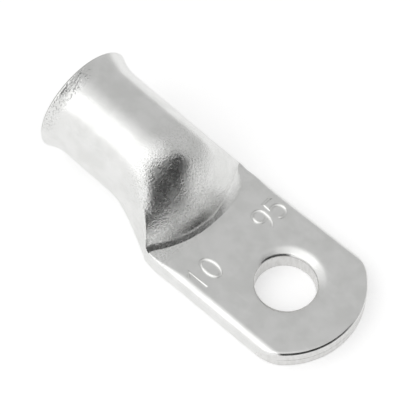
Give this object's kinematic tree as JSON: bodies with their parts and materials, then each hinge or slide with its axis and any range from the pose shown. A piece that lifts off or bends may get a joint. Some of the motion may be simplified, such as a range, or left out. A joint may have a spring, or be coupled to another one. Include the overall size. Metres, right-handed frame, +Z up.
{
  "type": "tubular cable lug",
  "caption": "Tubular cable lug: a round barrel with a bell mouth, pressed flat into a tongue with a round stud hole and a curved tip.",
  "frame": {"origin": "centre of the stud hole, on the underside of the tongue", "axes": "+Z up through the stud hole and out of the tongue's upper face; +X to the curved tip; the barrel lies towards -X, where the cable enters"},
  "size_m": [0.0618, 0.0252, 0.0205],
  "materials": {
    "tinned_copper": "satin"
  },
  "bodies": {
    "root": {"lug": "tinned_copper"}
  },
  "joints": []
}
